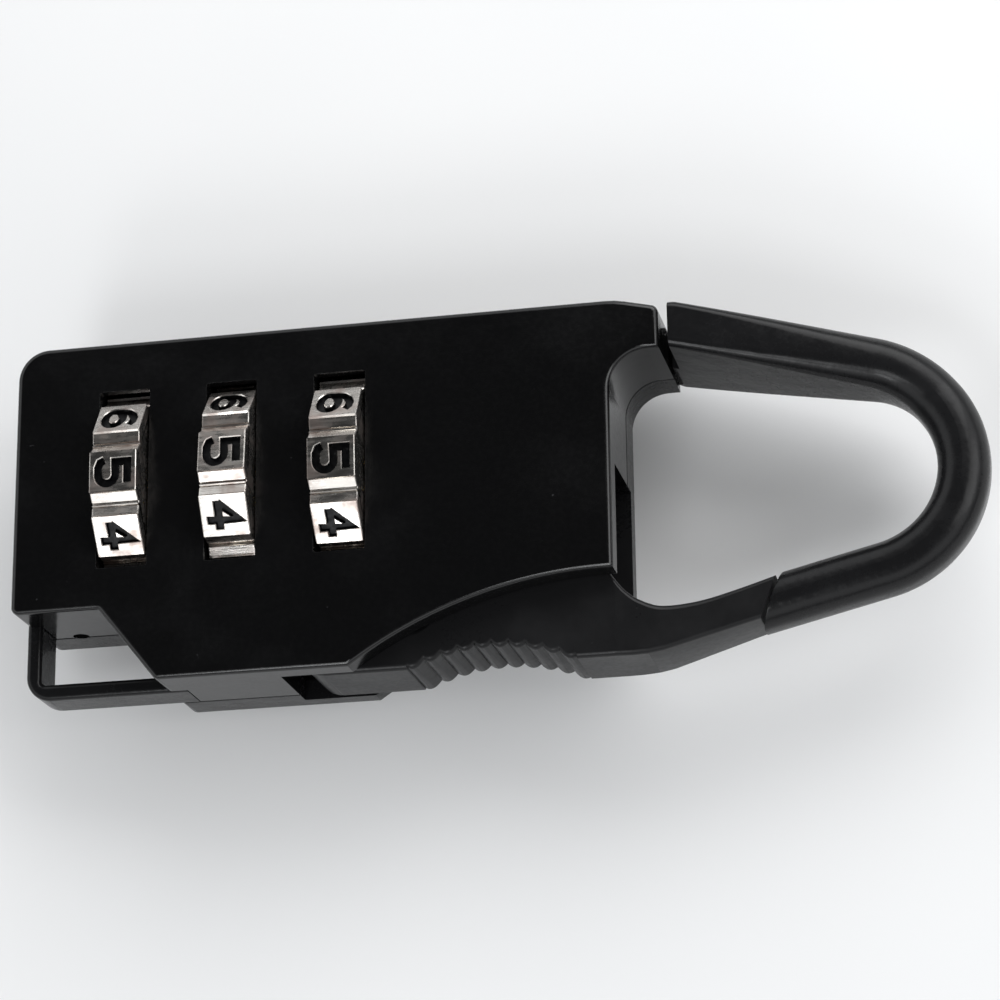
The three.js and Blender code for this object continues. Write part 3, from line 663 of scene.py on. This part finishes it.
def curve_through(marks, count):
    """A smooth curve through marks, as count + 1 points, by Catmull-Rom pieces."""
    chain = [Vector(marks[0])] + [Vector(m) for m in marks] + [Vector(marks[-1])]
    points = []
    for k in range(count + 1):
        s = (len(marks) - 1) * k / count
        i = min(int(s), len(marks) - 2)
        t = s - i
        a, b, c, d = chain[i : i + 4]
        bend, twist = 2 * a - 5 * b + 4 * c - d, 3 * b - a - 3 * c + d
        points.append(0.5 * (2 * b + (c - a) * t + bend * t**2 + twist * t**3))
    return points


def grip_y(x):
    """Height of the thumb grip's edge: a shallow hollow with rounded ribs."""
    across = (x - GRIP[0]) / (GRIP[1] - GRIP[0])
    if not 0 < across < 1:
        return BOTTOM_Y
    hollow = BOTTOM_Y + GRIP_DEPTH * 4 * across * (1 - across)
    rib = abs(math.sin(math.pi * GRIP_RIBS * across)) ** 0.8
    return max(hollow + GRIP_RIB_FOOT - GRIP_RIB_RISE * rib, BOTTOM_Y)


GATE_OUTER = ((GRIP[1], BOTTOM_Y), (48.2, BOTTOM_Y), (49.4, -6.05), (50.6, -5.85), (GATE_TIP_X, -3.75))
GATE_INNER = (
    (25.2, -2.75), (28.0, -2.9), (31.8, -3.0), (34.3, -0.9), (38.0, 0.4), (42.0, 1.2), (45.0, 1.55),
    (46.2, 1.05), (46.95, 0.0), (47.75, -1.0), (48.9, -1.85), (50.6, -2.4), (53.4, -2.15), (56.4, -1.35),
    (59.12, -0.48),
)


def outer_y(x):
    for (x0, y0), (x1, y1) in zip(GATE_OUTER, GATE_OUTER[1:]):
        if x <= x1:
            return y0 + (y1 - y0) * (x - x0) / (x1 - x0)
    return GATE_OUTER[-1][1]


def gate_sections(stations=460):
    """Pairs of outer and inner edge points along the gate, from the boss to the nose."""
    inner = curve_through(GATE_INNER, 560)
    px, py = PIVOT
    lean_x, lean_run = GATE_LEAN
    pairs = []
    for k in range(1, 13):
        turn = rad(90 * k / 12)
        x, rise = px - GATE_BOSS_R * math.cos(turn), GATE_BOSS_R * math.sin(turn)
        pairs.append((Vector((x, py - rise)), Vector((x, py + rise))))
    for k in range(1, stations + 1):
        x = px + (GATE_TIP_X - px) * k / stations
        low = Vector((x, grip_y(x) if x < GRIP[1] else outer_y(x)))
        reach = x + lean_run * smooth((x - lean_x) / (GATE_TIP_X - lean_x))
        if x > GATE_INNER[0][0]:
            high = min(inner, key=lambda p: abs(p.x - reach))
        else:
            high = Vector((x, -2.5 - 0.25 * (x - px) / 0.9))
        pairs.append((low, high))
    return pairs


def gate_half_depth(x):
    full = (GATE_Z[1] - GATE_Z[0]) / 2
    start, length = GATE_THINNING
    return full + (BAR_HALF_DEPTH - full) * max(x - start, 0) / length


def gate():
    rings = []
    for low, high in gate_sections():
        span = high - low
        half = span.length / 2
        middle = (low + high) / 2
        deep = gate_half_depth(middle.x)
        radius = min(0.42, half * 0.9)
        ring = []
        for side, up in round_rectangle(half, deep, radius, 5):
            at = middle + span.normalized() * side
            ring.append((at.x, at.y, MID_Z + up))
        rings.append(ring)
    made = loft("gate", rings)
    cut(made, along_z(PIVOT, PIVOT_HOLE_R, (-10, -1)))
    cut(made, block(*FENCE_ROOM))
    ring = circle(*FENCE_PIN, FENCE_SLOT_R, 24)
    run, rise = FENCE_SLOT_RUN
    slot = ring[6:19] + [(x + run, y + rise) for x, y in ring[18:] + ring[:7]]
    cut(made, plate("tool", slot, *FENCE_SLOT_Z))
    cut(made, along_y(GATE_SPRING_X, *GATE_SPRING_POCKET, MID_Z))
    names = "gate_body", "gate", "black_satin", ["gate_lever"]
    return finished(made, *names, GATE_PAINT, angle=38, flat=0.994)


# ---------- number wheels ----------


def arc(cx, cy, rx, ry, start, end, count):
    turns = [rad(start + (end - start) * k / count) for k in range(count + 1)]
    return [(cx + rx * math.cos(t), cy + ry * math.sin(t)) for t in turns]


SIX = [
    arc(0, -0.45, 0.78, 0.7, 0, 360, 20),
    [(-0.76, -0.5), (-0.76, 0.1), (-0.66, 0.6), (-0.35, 1.0), (0.1, 1.16), (0.5, 1.1), (0.74, 0.9)],
]
DIGIT_LINES = [
    [arc(0, 0, 0.76, 1.15, 0, 360, 28)],
    [[(-0.5, 0.65), (0.1, 1.15), (0.1, -1.35)]],
    [[*arc(0, 0.45, 0.75, 0.7, 165, -35, 12), (-0.75, -1.15), (0.95, -1.15)]],
    [arc(0, 0.55, 0.7, 0.6, 160, -95, 14), arc(0, -0.55, 0.78, 0.6, 95, -160, 14)],
    [[(0.35, -1.35), (0.35, 1.12), (-0.82, -0.4)], [(-0.95, -0.45), (1.0, -0.45)]],
    [[(0.82, 1.15), (-0.66, 1.15), (-0.66, 0.18), (0.2, 0.22), *arc(0.2, -0.47, 0.64, 0.69, 75, -75, 10),
      (0.2, -1.16), (-0.3, -1.16), (-0.66, -1.0), (-0.78, -0.7)]],
    SIX,
    [[(-0.95, 1.15), (0.78, 1.15), (-0.25, -1.35)]],
    [arc(0, 0.58, 0.62, 0.57, 0, 360, 18), arc(0, -0.55, 0.78, 0.6, 0, 360, 20)],
    [[(-x, -y) for x, y in line] for line in SIX],
]
STROKE = 0.6
DIGIT_SCALE = (1.14, 1.02)
PAINT_DEPTH = 0.42
RIM_DEPTH = 0.07


def stroke_band(line, width):
    """Both sides of a stroke of even width; a line that ends where it starts is a closed ring."""
    points = [Vector((x * DIGIT_SCALE[0], y * DIGIT_SCALE[1])) for x, y in line]
    ring = (points[0] - points[-1]).length < 1e-6
    if ring:
        points.pop()
    left, right = [], []
    for i, here in enumerate(points):
        before = points[i - 1] if ring or i else here
        after = points[(i + 1) % len(points)] if ring or i < len(points) - 1 else here
        a = (here - before).normalized() if before != here else (after - here).normalized()
        b = (after - here).normalized() if after != here else a
        mean = (a + b).normalized()
        stretch = min(1 / max(mean.dot(a), 0.4), 2.0)
        side = Vector((-mean.y, mean.x)) * (width / 2 * stretch)
        push = Vector((0, 0))
        if not ring and i in (0, len(points) - 1):
            push = mean * ((width - STROKE) / 2) * (-1 if i == 0 else 1)
        left.append(here + side + push)
        right.append(here - side + push)
    return left, right, ring


def stroke_cutter(line):
    """Cuts one stroke: a bright sloping rim, and painted walls and floor below it."""
    levels = ((STROKE + 0.34, 0.12), (STROKE + 0.02, -RIM_DEPTH), (STROKE - 0.06, -PAINT_DEPTH))
    shape = bmesh.new()
    loops = []
    for width, z in levels:
        left, right, ring = stroke_band(line, width)
        loops.append(([shape.verts.new((*p, z)) for p in left], [shape.verts.new((*p, z)) for p in right]))
    count = len(loops[0][0])
    steps = range(count if ring else count - 1)

    def face(verts, painted):
        shape.faces.new(verts).material_index = 1 if painted else 0

    for level in range(2):
        (l0, r0), (l1, r1) = loops[level], loops[level + 1]
        painted = level == 1
        for i in steps:
            j = (i + 1) % count
            face((l0[i], l0[j], l1[j], l1[i]), painted)
            face((r0[j], r0[i], r1[i], r1[j]), painted)
        if not ring:
            face((r0[0], l0[0], l1[0], r1[0]), painted)
            face((l0[-1], r0[-1], r1[-1], l1[-1]), painted)
    (l0, r0), (l2, r2) = loops[0], loops[2]
    for i in steps:
        j = (i + 1) % count
        face((l0[j], l0[i], r0[i], r0[j]), False)
        face((l2[i], l2[j], r2[j], r2[i]), True)
    bmesh.ops.recalc_face_normals(shape, faces=shape.faces)
    mesh = bpy.data.meshes.new("stroke")
    shape.to_mesh(mesh)
    shape.free()
    mesh.materials.append(CHROME)
    mesh.materials.append(PAINT)
    made = bpy.data.objects.new("stroke", mesh)
    scene.collection.objects.link(made)
    return made


def digit_angle(digit, turn):
    return 90 - (digit - SHOWN_DIGIT) * (360 / DIGITS) - turn


def wheel_rim(turn):
    """One turn of the rim: a flat for each digit, and between two flats a trough with a fine rib."""
    corner = FACE_R / math.cos(rad(FACE_HALF))
    trough = [
        (-6.1, 8.13), (-0.9, 7.78), (-0.4, 7.58), (0.1, 7.58), (0.5, 7.86), (1.3, 7.8), (1.7, 7.68),
        (2.0, 7.78), (6.1, 8.1),
    ]
    points = []
    for digit in range(DIGITS - 1, -1, -1):
        face = digit_angle(digit, turn)
        for share in (-1, 1):
            points.append((corner, face + share * FACE_HALF))
        points += [(r, face + 18 + offset) for offset, r in trough]
    return [(r * math.cos(rad(t)), r * math.sin(rad(t))) for r, t in points]


def number_wheel(index):
    """A wheel with its bore, the clutch recess on one side and ten engraved numbers."""
    x, turn = WHEEL_X[index], WHEEL_TURN[index]
    half = WHEEL_WIDTH / 2
    made = plate("wheel", wheel_rim(turn), -half, half, 0.14, 0.14, 3)
    made.data.transform(Matrix.Translation((x, AXIS_Y, MID_Z)) @ TO_X)
    made.data.materials.append(CHROME)
    made.data.materials.append(PAINT)
    centre = (AXIS_Y, MID_Z)
    cut(made, along_x(centre, WHEEL_BORE_R, (x - 3, x + 3), 48))
    cut(made, along_x(centre, CLUTCH_R, (x + CLUTCH_FLOOR_X, x + 3), 48))
    for digit in range(DIGITS):
        angle = rad(digit_angle(digit, turn))
        outward = Vector((0, math.cos(angle), math.sin(angle)))
        up = Vector((1, 0, 0))
        side = up.cross(outward)
        place = Matrix((side, up, outward)).transposed().to_4x4()
        place.translation = Vector((x, AXIS_Y, MID_Z)) + FACE_R * outward
        strokes = [stroke_cutter(line) for line in DIGIT_LINES[digit]]
        for stroke in strokes:
            stroke.data.transform(place)
        cut(made, *strokes)
    name = f"number_wheel_{index + 1}"
    return finished(made, f"{name}_chrome", f"wheel_{index + 1}", "wheel_chrome", [name], angle=28)


# ---------- springs and fasteners ----------


def coil_points(radius, length, turns, wire, closed_turns=0.8, per_turn=28):
    """A compression spring along y from 0 to length, with its end turns lying closed."""
    pitch = (length - 2 * wire) / (turns - 2 * closed_turns + 2 * closed_turns * 0.25)
    points = []
    y = wire
    for k in range(int(turns * per_turn) + 1):
        t = k / per_turn
        points.append((radius * math.cos(2 * math.pi * t), y, radius * math.sin(2 * math.pi * t)))
        slow = t < closed_turns or t > turns - closed_turns
        y += pitch / per_turn * (0.25 if slow else 1.0)
    return points


def wire_along(points, wire, sides=10):
    rings = []
    for i, point in enumerate(points):
        here = Vector(point)
        ahead = (Vector(points[min(i + 1, len(points) - 1)]) - Vector(points[max(i - 1, 0)])).normalized()
        out = Vector((here.x, 0, here.z)).normalized()
        out = (out - ahead * out.dot(ahead)).normalized()
        over = ahead.cross(out)
        ring = []
        for k in range(sides):
            t = 2 * math.pi * k / sides
            ring.append(here + (out * math.cos(t) - over * math.sin(t)) * wire)
        rings.append(ring)
    return loft("coil", rings)


def springs():
    """Both coil springs, each wound from its wire and fixed to the housing."""
    gate_coil = wire_along(coil_points(*GATE_COIL), GATE_COIL[3])
    gate_coil.data.transform(Matrix.Translation((GATE_SPRING_X, GATE_SPRING_Y[0], MID_Z)))
    finished(gate_coil, "gate_spring_coil", "housing", "spring_steel", ["gate_spring"], SPRING, angle=80)
    gate_coil.modifiers.clear()
    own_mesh(gate_coil)
    spindle_coil = wire_along(coil_points(*SPINDLE_COIL), SPINDLE_COIL[3])
    start, end = SPINDLE_SPRING_X
    place = Matrix.Translation((start, AXIS_Y, MID_Z)) @ Matrix.Rotation(rad(-90), 4, "Z")
    spindle_coil.data.transform(place)
    names = "spindle_spring_coil", "housing", "spring_steel", ["spindle_spring"]
    finished(spindle_coil, *names, SPRING, angle=80)
    spindle_coil.modifiers.clear()
    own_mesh(spindle_coil)


def headed_pin(name, node, at, head, shank, top, material):
    """A riveted pin: a slightly domed head sunk in the back face and a plain shank."""
    profile = [(0, 0.05), (head * 0.5, 0.07), (head * 0.85, 0.14), (head, 0.26), (head, 0.6), (shank, 0.62)]
    profile += [(shank, top + THICK - 0.15), (shank - 0.15, top + THICK), (0, top + THICK)]
    rings = [[(*p, z - THICK) for p in circle(*at, max(r, 0.02), 40)] for r, z in profile]
    made = loft(name, rings)
    return finished(made, name, "housing", "steel", [node], material, angle=40)


def fasteners():
    for i, at in enumerate(RIVETS):
        headed_pin(f"cover_rivet_{i + 1}_turned", f"cover_rivet_{i + 1}", at, 1.5, 0.85, -3.0, STEEL)
    headed_pin("gate_pivot_pin_turned", "gate_pivot_pin", PIVOT, 1.25, 0.8, -1.0, STEEL)


def dress_cad_nodes():
    """Inner pieces keep their CAD shape and get the finish of their material slot."""
    finishes = {"steel": STEEL, "spring_steel": SPRING, "zinc": ZINC, "brass": BRASS}
    slots = {row["node"]: row["material_slot"] for row in frame["record"]["subparts"]}
    for name, node in nodes.items():
        if node.hide_render:
            continue
        node.data.materials.clear()
        node.data.materials.append(finishes[slots[name]])


# ---------- scene ----------


# Brightness of the surroundings against height: a bright band under a dark ceiling.
SKY = ((0.0, 0.14), (0.12, 0.2), (0.3, 0.95), (0.55, 1.0), (0.8, 0.06), (1.0, 0.03))
SKY_STRENGTH = 1.35


def soft_light(name, direction, distance, size, power, colour=(1, 1, 1)):
    light = bpy.data.lights.new(name, "AREA")
    light.shape = "RECTANGLE"
    light.size, light.size_y = size
    light.energy = power
    light.color = colour
    lamp = bpy.data.objects.new(name, light)
    way = Vector(direction).normalized()
    lamp.location = way * distance
    lamp.rotation_mode = "QUATERNION"
    lamp.rotation_quaternion = way.to_track_quat("Z", "Y")
    scene.collection.objects.link(lamp)


def studio():
    """Two windows in front, one behind and one at the hook's end, under a dark ceiling."""
    soft_light("window", (-0.2, -0.79, 0.585), 0.7, (0.16, 0.13), 0.55, (0.97, 0.985, 1))
    soft_light("high_window", (-0.12, -0.58, 0.8), 0.55, (0.16, 0.13), 0.4, (0.97, 0.985, 1))
    soft_light("far_window", (0.3, 0.7, 0.62), 0.45, (0.35, 0.3), 0.92)
    soft_light("side_window", (0.8, 0.1, 0.62), 0.42, (0.25, 0.25), 0.45)
    world = bpy.data.worlds.new("studio")
    world.use_nodes = True
    tree = world.node_tree
    place = tree.nodes.new("ShaderNodeTexCoord")
    split = tree.nodes.new("ShaderNodeSeparateXYZ")
    tree.links.new(place.outputs["Generated"], split.inputs[0])
    rise = tree.nodes.new("ShaderNodeFloatCurve")
    curve = rise.mapping.curves[0]
    curve.points[0].location = SKY[0]
    curve.points[1].location = SKY[-1]
    for mark in SKY[1:-1]:
        curve.points.new(*mark)
    rise.mapping.update()
    tree.links.new(split.outputs["Z"], rise.inputs["Value"])
    gain = tree.nodes.new("ShaderNodeMath")
    gain.operation = "MULTIPLY"
    gain.inputs[1].default_value = SKY_STRENGTH
    tree.links.new(rise.outputs["Value"], gain.inputs[0])
    tree.links.new(gain.outputs[0], tree.nodes["Background"].inputs["Strength"])
    tree.nodes["Background"].inputs["Color"].default_value = (0.97, 0.985, 1, 1)
    scene.world = world
    scene.view_settings.view_transform = "Standard"


def floor():
    made = object_from("floor", [(-2, -2, 0), (2, -2, 0), (2, 2, 0), (-2, 2, 0)], [[0, 1, 2, 3]])
    paper = Nodes("pale_floor")
    tone = paper.noise(14, 2, 0.5)
    light, dark = (0.86, 0.86, 0.86), (0.82, 0.822, 0.825)
    paper.link(paper.mix(paper.span(tone, 0.3, 0.7, 0, 1), light, dark), "Base Color")
    paper.set(Roughness=0.55, Specular_IOR_Level=0.2)
    made.data.materials.append(paper.material)


def camera():
    """The photograph's viewpoint: right, up and ahead are the camera's own axes."""
    made = bpy.data.objects.new("camera", bpy.data.cameras.new("camera"))
    right = Vector((0.97749, -0.01106, -0.21070))
    up = Vector((0.07622, 0.94970, 0.30374))
    ahead = Vector((-0.19675, 0.31296, -0.92916))
    made.matrix_world = Matrix((right, up, -ahead)).transposed().to_4x4()
    made.location = ORIGIN + Vector((89.530, -74.720, 239.730)) * MM
    made.data.sensor_width = 36
    made.data.lens = 122.49
    made.data.clip_start = 0.01
    scene.collection.objects.link(made)
    scene.camera = made


camera()
floor()
studio()
front_cover()
back_casting()
gate()
for wheel in range(len(WHEEL_X)):
    number_wheel(wheel)
springs()
fasteners()
dress_cad_nodes()
